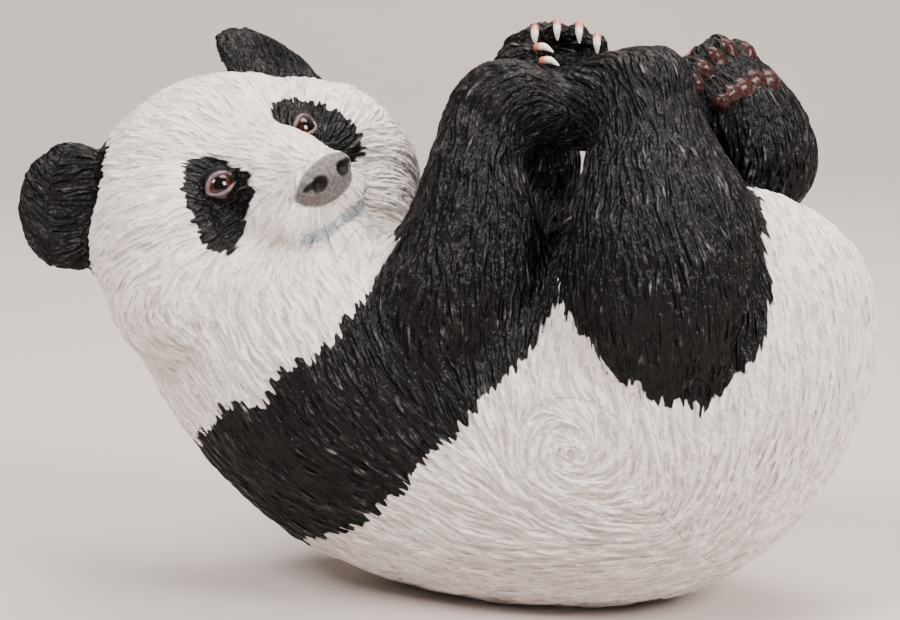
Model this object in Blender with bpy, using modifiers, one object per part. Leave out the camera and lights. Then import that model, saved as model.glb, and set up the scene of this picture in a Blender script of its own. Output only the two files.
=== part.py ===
"""A cast panda figurine: the panda lies on its back, turns its head and clasps one hind foot.

The figure is one solid. It is built the way a sculptor works: round masses laid along the
bones, fused and smoothed, then hollows pressed in, small forms added and locks of fur
combed over the surface. At the end the underside is ground flat where the figure rests.

Metres, +Z up. +X runs from the head to the rump, and -Y is the panda's right side.
"""

import bmesh
import bpy
import numpy as np
from mathutils import Matrix, Vector
from mathutils.kdtree import KDTree

# The figure's length from the ear to the rump, to the millimetre. The pose is written in 204ths
# of it, so one unit is a millimetre at this size.
LENGTH = 0.204
UNIT = LENGTH / 204

# The ground spot on the back: how deep the curve of the underside is ground away.
GROUND_SPOT_DEPTH = 2.2

# Grain of the clay while it is worked, in units, and the triangles of the finished solid.
ROUGH_GRAIN = 1.1
FINE_GRAIN = 0.8
TRIANGLES = 9300

# A point counts as a pit when its edges are longer than the reach, in units, and it lies deeper
# than this share of them.
PIT_REACH = 3.0
PIT_SHARE = 0.42

# Bones. Each station is x, y, z and a radius, in units, with z counted from the table.
# The torso's stations have a second radius, which is the half width across the body.
TORSO = [
    (72, 0, 72.5, 30.5, 28),
    (59, 0, 63, 42.6, 39),
    (47, 0, 51, 46, 43),
    (31, 0, 46, 45, 44),
    (13, 0, 46, 45, 43),
    (-6, 0, 48, 43.5, 40),
    (-22, -2, 53, 40, 39),
    (-39.2, -5, 65.3, 34.5, 36),
    (-52, -5, 80, 31, 32),
]
NEAR_ARM = [
    (2, -14, 60, 25),
    (4, -16, 67, 24),
    (7, -18, 77, 22),
    (9, -19, 85, 19),
    (10, -19, 92, 16.5),
    (10.6, -19, 98, 14.3),
    (10.3, -18, 106, 12),
    (11, -16.5, 113, 10.7),
    (12.3, -14.5, 119, 10.2),
    (15.3, -13, 123.5, 10.3),
    (21, -10.5, 123.4, 9.6),
    (27, -9, 121.5, 8),
]
FAR_ARM = [
    (0, 14, 60, 24),
    (3, 21, 74, 20),
    (9, 27, 84, 15),
    (14.3, 31, 95, 10.8),
    (17, 30, 106, 9.3),
    (17.3, 27, 118, 9),
    (19, 21, 127, 9),
    (20, 15, 133, 9),
]
NEAR_LEG = [
    (57, -22, 72, 22),
    (56, -23, 80, 23),
    (56, -21, 88, 23),
    (54.5, -18, 96, 21),
    (53, -15.5, 103, 18.3),
    (51.5, -13, 110, 15.3),
    (50.8, -11, 116, 13.2),
    (49.8, -9, 121, 12),
    (47, -7, 124, 11.3),
    (39, -4, 123.5, 11.2),
    (30, 2, 122.5, 11.2),
    (21, 7, 121.5, 10.2),
    (15, 10, 121, 8),
]
NEAR_KNEE = [(41, -5, 126.3, 9.6), (50, -8, 126.3, 11)]
FAR_LEG = [
    (56, 18, 72, 23),
    (60, 24, 84, 19),
    (66, 27, 97, 15),
    (70, 29, 107, 13),
]
NECK = [(-51, -10, 78.5, 25.5), (-38, -11, 68, 31), (-24, -7, 57, 38), (-8, -4, 54, 38)]
THROAT = [(-36, -10, 84, 21), (-24, -7, 74, 22), (-12, -4, 68, 22)]

TAIL_AT = (87, 17, 42)
TAIL_SIZE = (6, 6, 9)

# The head sits on a frame of its own: the way the nose points and the way the crown points.
HEAD_AT = (-55.6, -0.6, 92.7)
NOSE_WAY = (0.65, -0.63, 0.43)
CROWN_WAY = (-0.60, -0.07, 0.80)

# Forms of the head, in its own frame: forward, to its left, up.
EYE_AT = (27.0, 14, 7.5)
EYE_RADIUS = 3.7
NOSE_AT = (42.2, 0.8, -5.6)
NOSE_SIZE = (4.8, 9.3, 4.9)
EARS_AT = {-1: (-6, -30.3, 25.2), 1: (-4.6, 39.6, 24.6)}
EARS_WAY = {-1: (-0.40, -0.69, 0.64), 1: (-0.41, 0.73, 0.55)}
EARS_SIZE = {-1: (4.6, 16, 13.2), 1: (4.6, 18.8, 12.4)}
EAR_CUP = 3.4

# The free hind foot: the way its sole faces, and the way its heel points from its toes.
FOOT_AT = (71, 27, 118)
SOLE_WAY = (0.66, -0.59, 0.45)
HEEL_WAY = (0.52, -0.03, -0.86)

# Pads of that foot, in its frame: to the left and toward the toes, and a radius for the sole's.
TOE_PADS = [(-17, 16.5), (-12, 18.8), (-6.6, 20.2), (-1.2, 20.5), (4, 17.4)]
SOLE_PADS = [(-15, 7.4, 2.2), (-10.8, 7.9, 2.3), (-6.4, 7.8, 2.5), (-1.4, 8.2, 2.6), (3.2, 6.4, 2.8)]

# Fingertips: the far hand's by x and z, the near hand's by x, y and z.
FAR_FINGERS = [(15, 134), (19.8, 138.2), (25.2, 139.5), (30.5, 138.9), (34.8, 136.4)]
NEAR_FINGERS = [(20, -3, 134), (22, -6, 131), (21, 0, 135), (19, 3, 135)]

CLAW_LENGTH = 5.0
CLAW_RADIUS = 1.3

# Locks of fur: how many at most, the length, width and height of one, and how near two can start.
LOCKS = 700
LOCK = (19, 7.5, 0.8)
LOCK_SPACING = 6.0
SEED = 7


def frame(origin, forward, up):
    """A matrix whose X axis is forward and whose Z axis is as near up as it can be."""
    x = Vector(forward).normalized()
    z = (Vector(up) - x * x.dot(Vector(up))).normalized()
    turn = Matrix((x, z.cross(x), z)).transposed().to_4x4()
    return Matrix.Translation(Vector(origin)) @ turn


HEAD = frame(HEAD_AT, NOSE_WAY, CROWN_WAY)
FOOT = frame(FOOT_AT, SOLE_WAY, [-n for n in HEEL_WAY])
WORLD = Matrix.Identity(4)


def between(stations, share):
    """A smooth curve through the stations, at a share of 0 to 1 of its way."""
    rows = np.array(stations, float)
    place = share * (len(rows) - 1)
    i = min(int(place), len(rows) - 2)
    t = place - i
    before, here = rows[max(i - 1, 0)], rows[i]
    after, beyond = rows[i + 1], rows[min(i + 2, len(rows) - 1)]
    return 0.5 * (
        2 * here
        + (after - before) * t
        + (2 * before - 5 * here + 4 * after - beyond) * t**2
        + (3 * here - before - 3 * after + beyond) * t**3
    )


def along(stations, step):
    """Points on the stations' curve about one step apart."""
    rows = np.array(stations, float)
    reach = np.linalg.norm(np.diff(rows[:, :3], axis=0), axis=1).sum()
    count = max(3, int(reach / step) + 1)
    return [between(stations, share) for share in np.linspace(0, 1, count)]


def ball(clay, where, radii, space=WORLD):
    """Adds an ellipsoid, at a place in units in the figure's frame or in another one."""
    clay.append(space @ Matrix.Translation(Vector(where)) @ Matrix.Diagonal(Vector(radii)).to_4x4())


def limb(clay, stations, space=WORLD, spacing=0.15):
    """Adds balls laid closely along the stations' curve, so that they fuse to one limb."""
    thinnest = min(row[3] for row in stations)
    for x, y, z, radius, *width in along(stations, thinnest * spacing):
        ball(clay, (x, y, z), (radius, width[0] if width else radius, radius), space)


def skin(clay):
    """One mesh of all the balls, in units."""
    bm = bmesh.new()
    bmesh.ops.create_icosphere(bm, subdivisions=4, radius=1)
    points = np.array([(*v.co, 1) for v in bm.verts])
    faces = np.array([[v.index for v in f.verts] for f in bm.faces])
    bm.free()
    places = np.concatenate([points @ np.array(m).T[:, :3] for m in clay])
    corners = np.concatenate([faces + i * len(points) for i in range(len(clay))])
    mesh = bpy.data.meshes.new("clay")
    mesh.from_pydata(places.tolist(), [], corners.tolist())
    return mesh


def add_clay(obj, clay):
    bm = bmesh.new()
    bm.from_mesh(obj.data)
    bm.from_mesh(skin(clay))
    bm.to_mesh(obj.data)
    bm.free()


def settle(obj):
    """Applies the object's modifiers."""
    graph = bpy.context.evaluated_depsgraph_get()
    made = bpy.data.meshes.new_from_object(obj.evaluated_get(graph))
    obj.modifiers.clear()
    obj.data = made


def fuse(obj, grain, rounds):
    """Fuses what overlaps into one skin, and smooths it."""
    remesh = obj.modifiers.new("fuse", "REMESH")
    remesh.mode = "VOXEL"
    remesh.voxel_size = grain
    smooth = obj.modifiers.new("smooth", "SMOOTH")
    smooth.factor = 0.5
    smooth.iterations = rounds
    settle(obj)


def add_masses(clay):
    for bones in (TORSO, NECK, THROAT, NEAR_ARM, FAR_ARM, NEAR_LEG, NEAR_KNEE, FAR_LEG):
        limb(clay, bones)
    add_skull(clay)
    ball(clay, (22.3, 10, 132.5), (13.3, 9.5, 8.8))
    ball(clay, (-2, -1.2, -2.5), (11, 15, 20.5), FOOT)
    ball(clay, (0, -4.2, 7.5), (8.3, 14.8, 12.5), FOOT)
    ball(clay, TAIL_AT, TAIL_SIZE)


def add_skull(clay):
    """The skull, its cheeks and its muzzle. The left cheek, pushed up by the turned neck, is fuller."""
    ball(clay, (-1, 1, 5.5), (30, 37.5, 31), HEAD)
    for side in (-1, 1):
        fuller = 1 + side
        ball(clay, (6 + 1.3 * fuller, side * 21 + 0.6 * fuller, 3 - fuller), (22, 20, 21.5), HEAD)
        ball(clay, (8 + 0.5 * fuller, side * 27 + fuller, -8), (19, 19, 19), HEAD)
        ball(clay, (11, side * 20, -18), (19, 19, 17), HEAD)
        ball(clay, (24.5, side * 7, -10), (13.5, 11, 12), HEAD)
    ball(clay, (12.4, 28.5, -0.4), (16.5, 16.5, 16.5), HEAD)
    limb(clay, [(12, 0, 0, 20), (24, 0, 0.5, 15), (33, 0.4, -2.4, 10.9), (38, 0.7, -4.8, 8.7)], HEAD)
    limb(clay, [(12, 0, -17, 18), (23, 0.3, -21, 13), (30, 0.7, -22, 10.6)], HEAD)


def ear_frame(side):
    """The ear's own frame: X out of its cup, Z away from the head."""
    return HEAD @ frame(EARS_AT[side], (0.9, side * 0.42, 0.1), EARS_WAY[side])


def add_face(clay):
    for side in (-1, 1):
        x, y, z = EYE_AT
        ball(clay, (x, side * y, z), (EYE_RADIUS, EYE_RADIUS * 1.15, EYE_RADIUS), HEAD)
        ball(clay, (0, 0, 0), EARS_SIZE[side], ear_frame(side))
        ball(clay, (-1.5, 0, -7), (6.5, 13, 12), ear_frame(side))
        ball(clay, (34.5, side * 6.3, -11), (7.5, 8, 7), HEAD)
    ball(clay, NOSE_AT, NOSE_SIZE, HEAD)


def add_digit(clay, root, tip, radius, claw_way, space=WORLD):
    """A finger or toe, with a claw that leaves its tip and bends the way given."""
    root, tip, way = Vector(root), Vector(tip), Vector(claw_way).normalized()
    limb(clay, [(*root, radius), (*tip, radius * 0.9)], space, spacing=0.4)
    out = (tip - root).normalized()
    start = tip + (out + way) * radius * 0.45
    middle = start + (out * 0.35 + way) * CLAW_LENGTH * 0.5
    end = start + way * CLAW_LENGTH
    claw = [(*start, CLAW_RADIUS), (*middle, CLAW_RADIUS * 0.85), (*end, CLAW_RADIUS * 0.45)]
    limb(clay, claw, space, spacing=0.8)


def add_hands(clay):
    """Both hands: the far one hooks over the clasped foot from behind, the near one from below."""
    for k, (x, z) in enumerate(FAR_FINGERS):
        add_digit(clay, (x - 1, 10, z - 3), (x, 2.5, z), 3.1, (0.1, -0.2, -1))
    for k, (x, y, z) in enumerate(NEAR_FINGERS):
        add_digit(clay, (x - 6, y + 1, z - 3), (x, y, z), 2.9, (1, -0.05, -0.35))


def add_feet(clay):
    """Toes and sole pads of the free foot, and the toes of the clasped one."""
    for k, (y, z) in enumerate(TOE_PADS):
        add_digit(clay, (-1, y * 0.9, z - 9), (1.5, y, z - 0.8), 3.9, (-1, 0, 0.05), FOOT)
        ball(clay, (4.8, y, z - 2.2), (2, 2.1, 2.8), FOOT)
        x, y = 16 + 1.7 * (k - 2), 12 + 3.9 * (k - 2)
        add_digit(clay, (x + 5, y - 2, 120), (x - 2, y + 1, 123), 3.3, (-1, 0.4, 0.4))
    for y, z, radius in SOLE_PADS:
        ball(clay, (7.2, y, z), (2, radius, radius), FOOT)


def reading(obj):
    """The vertices and their normals."""
    mesh = obj.data
    co = np.empty(len(mesh.vertices) * 3)
    normal = np.empty(len(mesh.vertices) * 3)
    mesh.vertices.foreach_get("co", co)
    mesh.vertices.foreach_get("normal", normal)
    return co.reshape(-1, 3), normal.reshape(-1, 3)


def put_back(obj, co):
    obj.data.vertices.foreach_set("co", co.ravel())
    obj.data.update()


def press(obj, dents, space=WORLD):
    """Presses hollows into the clay: each dent is a place, three radii and a depth."""
    co, normal = reading(obj)
    inverse = np.array(space.inverted())
    local = co @ inverse[:3, :3].T + inverse[:3, 3]
    moved = co.copy()
    for where, radii, depth in dents:
        away = (((local - where) / radii) ** 2).sum(axis=1)
        moved -= normal * (depth * np.clip(1 - away, 0, 1) ** 1.5)[:, None]
    put_back(obj, moved)


def press_face(obj):
    """Eye sockets, and the furrows between the muzzle and the cheeks."""
    x, y, z = EYE_AT
    for side in (-1, 1):
        dents = [
            ((x + 1, side * y, z - 1), (9, 10, 9), 1.7),
            ((x - 3, side * (y + 3), z - 12), (11, 6, 9), 2.4),
            ((x + 2, side * (y + 1), z - 21), (10, 6, 9), 2.2),
        ]
        press(obj, dents, HEAD)


def press_details(obj):
    """Ear cups, nostrils and the mouth."""
    for side in (-1, 1):
        x, y, z = EARS_SIZE[side]
        cup = [((x, 0, 0.5), (5.5, y * 0.7, z * 0.78), EAR_CUP)]
        press(obj, cup, ear_frame(side))
        nostril = [((NOSE_AT[0] + 4.2, side * 3.4, NOSE_AT[2] - 1), (3, 2.3, 2.1), 2.2)]
        press(obj, nostril, HEAD)
    mouth = []
    for x, y, z in ((32, 13.5, -12.5), (36.5, 10, -15.5), (39.5, 5.5, -17), (40.5, 1.5, -16.6)):
        mouth += [((x, side * y, z), (5, 3.6, 1.8), 1.3) for side in (-1, 1)]
    press(obj, mouth, HEAD)


def combing():
    """Which way the fur lies: points inside the body with a reach and a direction."""
    rows = []
    for bones, way in (
        (TORSO, -1),
        (NEAR_ARM, 1),
        (FAR_ARM, 1),
        (NEAR_LEG, -1),
        (FAR_LEG, 1),
    ):
        points = np.array([row[:4] for row in along(bones, 4)])
        ways = np.gradient(points[:, :3], axis=0) * way
        ways /= np.linalg.norm(ways, axis=1)[:, None]
        rows += [(*point, *direction) for point, direction in zip(points, ways)]
    return np.array(rows)


def bare(co):
    """The vertices that carry no locks: face, ears, hands, soles and the ground spot."""
    head = np.array(HEAD.inverted())
    foot = np.array(FOOT.inverted())
    in_head = co @ head[:3, :3].T + head[:3, 3]
    in_foot = co @ foot[:3, :3].T + foot[:3, 3]
    face = (in_head[:, 0] > 20) & (np.abs(in_head[:, 1]) < 24) & (np.abs(in_head[:, 2]) < 26)
    ears = (in_head[:, 2] > 12) & (np.abs(in_head[:, 1]) > 30)
    hands = (co[:, 2] > 124) & (co[:, 0] > 8) & (co[:, 0] < 45)
    sole = (np.linalg.norm(in_foot, axis=1) < 24) & (in_foot[:, 2] > 0)
    return face | ears | hands | sole | (co[:, 2] < 8)


def comb(obj):
    """Raises locks of fur: long drops, low at the root and steep at the tip."""
    co, normal = reading(obj)
    tree = KDTree(len(co))
    for i, point in enumerate(co):
        tree.insert(point, i)
    tree.balance()
    field = combing()
    nose = np.array(HEAD @ Vector(NOSE_AT))
    skull = np.array(HEAD_AT)
    dice = np.random.default_rng(SEED)
    length, width, height = LOCK
    places = np.flatnonzero(~bare(co))
    raised = np.zeros(len(co))
    started = []
    for i in dice.permutation(places)[: LOCKS * 40]:
        if len(started) == LOCKS:
            break
        root, up = co[i], normal[i]
        if started and np.linalg.norm(np.array(started) - root, axis=1).min() < LOCK_SPACING:
            continue
        started.append(root)
        nearest = np.argmin(np.linalg.norm(field[:, :3] - root, axis=1) / field[:, 3])
        way = field[nearest, 4:7]
        if np.linalg.norm(root - skull) < 42:
            way = (root - nose) / np.linalg.norm(root - nose)
        way = way + dice.normal(0, 0.14, 3)
        way -= up * way.dot(up)
        way /= np.linalg.norm(way)
        size = dice.uniform(0.7, 1.15)
        near = [row[1] for row in tree.find_range(root, length * size)]
        offset = co[near] - root
        forward = offset @ way / (length * size)
        aside = offset @ np.cross(up, way) / (width * size * 0.5)
        aside = aside / np.sqrt(np.clip(1.05 - forward, 0.05, 1))
        rise = np.clip(forward, 0, 1) ** 0.6 * np.clip((1 - forward) * 3, 0, 1)
        drop = height * size * rise * np.clip(1 - aside**2, 0, 1)
        raised[near] = np.maximum(raised[near], drop * (normal[near] @ up > 0.3))
    put_back(obj, co + normal * (raised - height * 0.25)[:, None])


def thin_out(obj):
    """Brings the solid down to its triangles, most of them where the form turns.

    A lone point that this leaves sunk among its neighbours is lifted to their middle.
    """
    obj.data.calc_loop_triangles()
    smooth = obj.modifiers.new("smooth", "SMOOTH")
    smooth.factor = 0.5
    smooth.iterations = 4
    decimate = obj.modifiers.new("thin", "DECIMATE")
    decimate.ratio = TRIANGLES / len(obj.data.loop_triangles)
    decimate.use_collapse_triangulate = True
    settle(obj)
    bm = bmesh.new()
    bm.from_mesh(obj.data)
    bm.normal_update()
    for v in bm.verts:
        around = [e.other_vert(v).co for e in v.link_edges]
        middle = sum(around, Vector()) / len(around)
        reach = sum((other - v.co).length for other in around) / len(around)
        if reach > PIT_REACH and (middle - v.co).dot(v.normal) > PIT_SHARE * reach:
            v.co = middle
    bm.to_mesh(obj.data)
    bm.free()


def grind_and_centre(obj):
    """Grinds the ground spot flat, and sets the figure on it with its box centred on the origin.

    Returns the point, in units, that became the origin.
    """
    bm = bmesh.new()
    bm.from_mesh(obj.data)
    table = min(v.co.z for v in bm.verts) + GROUND_SPOT_DEPTH
    bmesh.ops.bisect_plane(
        bm,
        geom=bm.verts[:] + bm.edges[:] + bm.faces[:],
        plane_co=(0, 0, table),
        plane_no=(0, 0, 1),
        clear_inner=True,
        dist=0.05,
    )
    rim = [e for e in bm.edges if e.is_boundary]
    bmesh.ops.edgeloop_fill(bm, edges=rim)
    bmesh.ops.triangulate(bm, faces=[f for f in bm.faces if len(f.verts) > 3])
    low = [min(v.co[i] for v in bm.verts) for i in range(3)]
    high = [max(v.co[i] for v in bm.verts) for i in range(3)]
    origin = Vector(((low[0] + high[0]) / 2, (low[1] + high[1]) / 2, table))
    for v in bm.verts:
        v.co = (v.co - origin) * UNIT
    bmesh.ops.recalc_face_normals(bm, faces=bm.faces[:])
    for face in bm.faces:
        face.smooth = abs(face.normal.z + 1) > 1e-4
    bm.to_mesh(obj.data)
    bm.free()
    return origin


def resin():
    """The painted cast resin, at the mean of the figure's black and white."""
    material = bpy.data.materials.new("painted resin")
    material.use_nodes = True
    surface = material.node_tree.nodes["Principled BSDF"]
    surface.inputs["Base Color"].default_value = (0.42, 0.40, 0.39, 1)
    surface.inputs["Roughness"].default_value = 0.55
    return material


def panda():
    clay = []
    add_masses(clay)
    obj = bpy.data.objects.new("panda", skin(clay))
    shelf = bpy.data.collections.new("panda figurine")
    bpy.context.scene.collection.children.link(shelf)
    shelf.objects.link(obj)
    fuse(obj, ROUGH_GRAIN, 24)
    press_face(obj)

    clay = []
    add_face(clay)
    add_hands(clay)
    add_feet(clay)
    add_clay(obj, clay)
    fuse(obj, FINE_GRAIN, 3)
    press_details(obj)

    comb(obj)
    thin_out(obj)
    origin = grind_and_centre(obj)
    obj.data.name = "panda"
    obj.data.materials.clear()
    obj.data.materials.append(resin())
    return origin


def main():
    for obj in list(bpy.data.objects):
        bpy.data.objects.remove(obj)
    return panda()


if __name__ == "__main__":
    main()
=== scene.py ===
import math

import bmesh
import bpy
import numpy as np
from mathutils import Matrix, Vector


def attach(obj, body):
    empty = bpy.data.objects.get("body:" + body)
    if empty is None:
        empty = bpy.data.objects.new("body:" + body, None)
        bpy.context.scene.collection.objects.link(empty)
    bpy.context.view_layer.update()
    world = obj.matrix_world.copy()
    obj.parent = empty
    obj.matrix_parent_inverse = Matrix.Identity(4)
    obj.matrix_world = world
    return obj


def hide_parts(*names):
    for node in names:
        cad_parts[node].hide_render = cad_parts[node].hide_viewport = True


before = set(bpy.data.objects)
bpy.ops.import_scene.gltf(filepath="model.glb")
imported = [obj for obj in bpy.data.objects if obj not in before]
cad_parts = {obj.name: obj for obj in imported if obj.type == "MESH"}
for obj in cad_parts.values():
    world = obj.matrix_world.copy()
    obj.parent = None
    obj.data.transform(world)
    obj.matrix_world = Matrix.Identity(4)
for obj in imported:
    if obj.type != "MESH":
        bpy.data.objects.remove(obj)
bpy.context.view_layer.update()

# The figure's form, as in the CAD source: units are millimetres, z is counted from the table,
# and ORIGIN is the point of this form that is the frame's origin.
UNIT = 0.001
ORIGIN = np.array((0.9089, -0.3415, 3.1280))
GROUND = ORIGIN[2]
ROUGH_GRAIN = 1.1
GRAIN = 0.78

TORSO = [
    (72, 0, 72.5, 30.5, 28),
    (59, 0, 63, 42.6, 39),
    (47, 0, 51, 46, 43),
    (31, 0, 46, 45, 44),
    (13, 0, 46, 45, 43),
    (-6, 0, 48, 43.5, 40),
    (-22, -2, 53, 40, 39),
    (-39.2, -5, 65.3, 34.5, 36),
    (-52, -5, 80, 31, 32),
]
NEAR_ARM = [
    (2, -14, 60, 25),
    (4, -16, 67, 24),
    (7, -18, 77, 22),
    (9, -19, 85, 19),
    (10, -19, 92, 16.5),
    (10.6, -19, 98, 14.3),
    (10.3, -18, 106, 12),
    (11, -16.5, 113, 10.7),
    (12.3, -14.5, 119, 10.2),
    (15.3, -13, 123.5, 10.3),
    (21, -10.5, 123.4, 9.6),
    (27, -9, 121.5, 8),
]
FAR_ARM = [
    (0, 14, 60, 24),
    (3, 21, 74, 20),
    (9, 27, 84, 15),
    (14.3, 31, 95, 10.8),
    (17, 30, 106, 9.3),
    (17.3, 27, 118, 9),
    (19, 21, 127, 9),
    (20, 15, 133, 9),
]
NEAR_LEG = [
    (57, -22, 72, 22),
    (56, -23, 80, 23),
    (56, -21, 88, 23),
    (54.5, -18, 96, 21),
    (53, -15.5, 103, 18.3),
    (51.5, -13, 110, 15.3),
    (50.8, -11, 116, 13.2),
    (49.8, -9, 121, 12),
    (47, -7, 124, 11.3),
    (39, -4, 123.5, 11.2),
    (30, 2, 122.5, 11.2),
    (21, 7, 121.5, 10.2),
    (15, 10, 121, 8),
]
NEAR_KNEE = [(41, -5, 126.3, 9.6), (50, -8, 126.3, 11)]
FAR_LEG = [
    (56, 18, 72, 23),
    (60, 24, 84, 19),
    (66, 27, 97, 15),
    (70, 29, 107, 13),
]
NECK = [(-51, -10, 78.5, 25.5), (-38, -11, 68, 31), (-24, -7, 57, 38), (-8, -4, 54, 38)]
THROAT = [(-36, -10, 84, 21), (-24, -7, 74, 22), (-12, -4, 68, 22)]
TAIL_AT = (87, 17, 42)
TAIL_SIZE = (6, 6, 9)

HEAD_AT = (-55.6, -0.6, 92.7)
NOSE_WAY = (0.65, -0.63, 0.43)
CROWN_WAY = (-0.60, -0.07, 0.80)
EYE_AT = (27.0, 14, 7.5)
EYE_RADIUS = 3.7
NOSE_AT = (42.2, 0.8, -5.6)
NOSE_SIZE = (4.8, 9.3, 4.9)
EARS_AT = {-1: (-6, -30.3, 25.2), 1: (-4.6, 39.6, 24.6)}
EARS_WAY = {-1: (-0.40, -0.69, 0.64), 1: (-0.41, 0.73, 0.55)}
EARS_SIZE = {-1: (4.6, 16, 13.2), 1: (4.6, 18.8, 12.4)}
EAR_CUP = 3.4
MOUTH = [(32, 13.5, -12.5), (36.5, 10, -15.5), (39.5, 5.5, -17), (40.5, 1.5, -16.6)]

FOOT_AT = (71, 27, 118)
SOLE_WAY = (0.66, -0.59, 0.45)
HEEL_WAY = (0.52, -0.03, -0.86)
TOE_PADS = [(-17, 16.5), (-12, 18.8), (-6.6, 20.2), (-1.2, 20.5), (4, 17.4)]
SOLE_PADS = [(-15, 7.4, 2.2), (-10.8, 7.9, 2.3), (-6.4, 7.8, 2.5), (-1.4, 8.2, 2.6), (3.2, 6.4, 2.8)]
FAR_FINGERS = [(15, 134), (19.8, 138.2), (25.2, 139.5), (30.5, 138.9), (34.8, 136.4)]
NEAR_FINGERS = [(20, -3, 134), (22, -6, 131), (21, 0, 135), (19, 3, 135)]

# The photo's camera: where it looks from, its lens and its distance.
CAMERA_AZIMUTH = math.radians(14)
CAMERA_ELEVATION = math.radians(9)
CAMERA_LENS = 90
CAMERA_DISTANCE = 550
CAMERA_TARGET = np.array((0, 0, 72))


def space_at(origin, forward, up):
    """A matrix whose X axis is forward and whose Z axis is as near up as it can be."""
    x = Vector(forward).normalized()
    z = (Vector(up) - x * x.dot(Vector(up))).normalized()
    turn = Matrix((x, z.cross(x), z)).transposed().to_4x4()
    return Matrix.Translation(Vector(origin)) @ turn


HEAD = space_at(HEAD_AT, NOSE_WAY, CROWN_WAY)
FOOT = space_at(FOOT_AT, SOLE_WAY, [-n for n in HEEL_WAY])
WORLD = Matrix.Identity(4)


def into(space, co):
    """Points of the figure in a space's own coordinates."""
    m = np.array(space.inverted())
    return co @ m[:3, :3].T + m[:3, 3]


def out_of(space, co):
    m = np.array(space)
    return np.asarray(co) @ m[:3, :3].T + m[:3, 3]


def unit(v):
    v = np.asarray(v, float)
    return v / np.maximum(np.linalg.norm(v, axis=-1, keepdims=True), 1e-9)


def smooth_step(x):
    x = np.clip(x, 0, 1)
    return x * x * (3 - 2 * x)


def between(stations, share):
    rows = np.array(stations, float)
    place = share * (len(rows) - 1)
    i = min(int(place), len(rows) - 2)
    t = place - i
    before, here = rows[max(i - 1, 0)], rows[i]
    after, beyond = rows[i + 1], rows[min(i + 2, len(rows) - 1)]
    return 0.5 * (
        2 * here
        + (after - before) * t
        + (2 * before - 5 * here + 4 * after - beyond) * t**2
        + (3 * here - before - 3 * after + beyond) * t**3
    )


def along(stations, step):
    rows = np.array(stations, float)
    reach = np.linalg.norm(np.diff(rows[:, :3], axis=0), axis=1).sum()
    count = max(3, int(reach / step) + 1)
    return [between(stations, share) for share in np.linspace(0, 1, count)]


def ball(clay, where, radii, space=WORLD):
    clay.append(space @ Matrix.Translation(Vector(where)) @ Matrix.Diagonal(Vector(radii)).to_4x4())


def limb(clay, stations, space=WORLD, spacing=0.15):
    thinnest = min(row[3] for row in stations)
    for x, y, z, radius, *width in along(stations, thinnest * spacing):
        ball(clay, (x, y, z), (radius, width[0] if width else radius, radius), space)


def skin(clay):
    bm = bmesh.new()
    bmesh.ops.create_icosphere(bm, subdivisions=4, radius=1)
    points = np.array([(*v.co, 1) for v in bm.verts])
    faces = np.array([[v.index for v in f.verts] for f in bm.faces])
    bm.free()
    places = np.concatenate([points @ np.array(m).T[:, :3] for m in clay])
    corners = np.concatenate([faces + i * len(points) for i in range(len(clay))])
    return mesh_of("clay", places, corners)


def mesh_of(name, places, corners):
    """A mesh from arrays of places and of faces that all have as many corners."""
    mesh = bpy.data.meshes.new(name)
    mesh.vertices.add(len(places))
    mesh.vertices.foreach_set("co", np.ascontiguousarray(places, np.float32).ravel())
    mesh.loops.add(corners.size)
    mesh.loops.foreach_set("vertex_index", np.ascontiguousarray(corners, np.int32).ravel())
    mesh.polygons.add(len(corners))
    starts = np.arange(len(corners), dtype=np.int32) * corners.shape[1]
    mesh.polygons.foreach_set("loop_start", starts)
    mesh.update(calc_edges=True)
    return mesh


def fuse(obj, grain, rounds):
    remesh = obj.modifiers.new("fuse", "REMESH")
    remesh.mode = "VOXEL"
    remesh.voxel_size = grain
    smooth = obj.modifiers.new("smooth", "SMOOTH")
    smooth.factor = 0.5
    smooth.iterations = rounds
    graph = bpy.context.evaluated_depsgraph_get()
    made = bpy.data.meshes.new_from_object(obj.evaluated_get(graph))
    obj.modifiers.clear()
    obj.data = made


def add_skull(clay):
    ball(clay, (-1, 1, 5.5), (30, 37.5, 31), HEAD)
    for side in (-1, 1):
        fuller = 1 + side
        ball(clay, (6 + 1.3 * fuller, side * 21 + 0.6 * fuller, 3 - fuller), (22, 20, 21.5), HEAD)
        ball(clay, (8 + 0.5 * fuller, side * 27 + fuller, -8), (19, 19, 19), HEAD)
        ball(clay, (11, side * 20, -18), (19, 19, 17), HEAD)
        ball(clay, (24.5, side * 7, -10), (13.5, 11, 12), HEAD)
    ball(clay, (12.4, 28.5, -0.4), (16.5, 16.5, 16.5), HEAD)
    limb(clay, [(12, 0, 0, 20), (24, 0, 0.5, 15), (33, 0.4, -2.4, 10.9), (38, 0.7, -4.8, 8.7)], HEAD)
    limb(clay, [(12, 0, -17, 18), (23, 0.3, -21, 13), (30, 0.7, -22, 10.6)], HEAD)


def masses():
    clay = []
    for bones in (TORSO, NECK, THROAT, NEAR_ARM, FAR_ARM, NEAR_LEG, NEAR_KNEE, FAR_LEG):
        limb(clay, bones)
    add_skull(clay)
    ball(clay, (22.3, 10, 132.5), (13.3, 9.5, 8.8))
    ball(clay, (-2, -1.2, -2.5), (11, 15, 20.5), FOOT)
    ball(clay, (0, -4.2, 7.5), (8.3, 14.8, 12.5), FOOT)
    ball(clay, TAIL_AT, TAIL_SIZE)
    return clay


def ear_space(side):
    return HEAD @ space_at(EARS_AT[side], (0.9, side * 0.42, 0.1), EARS_WAY[side])


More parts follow.
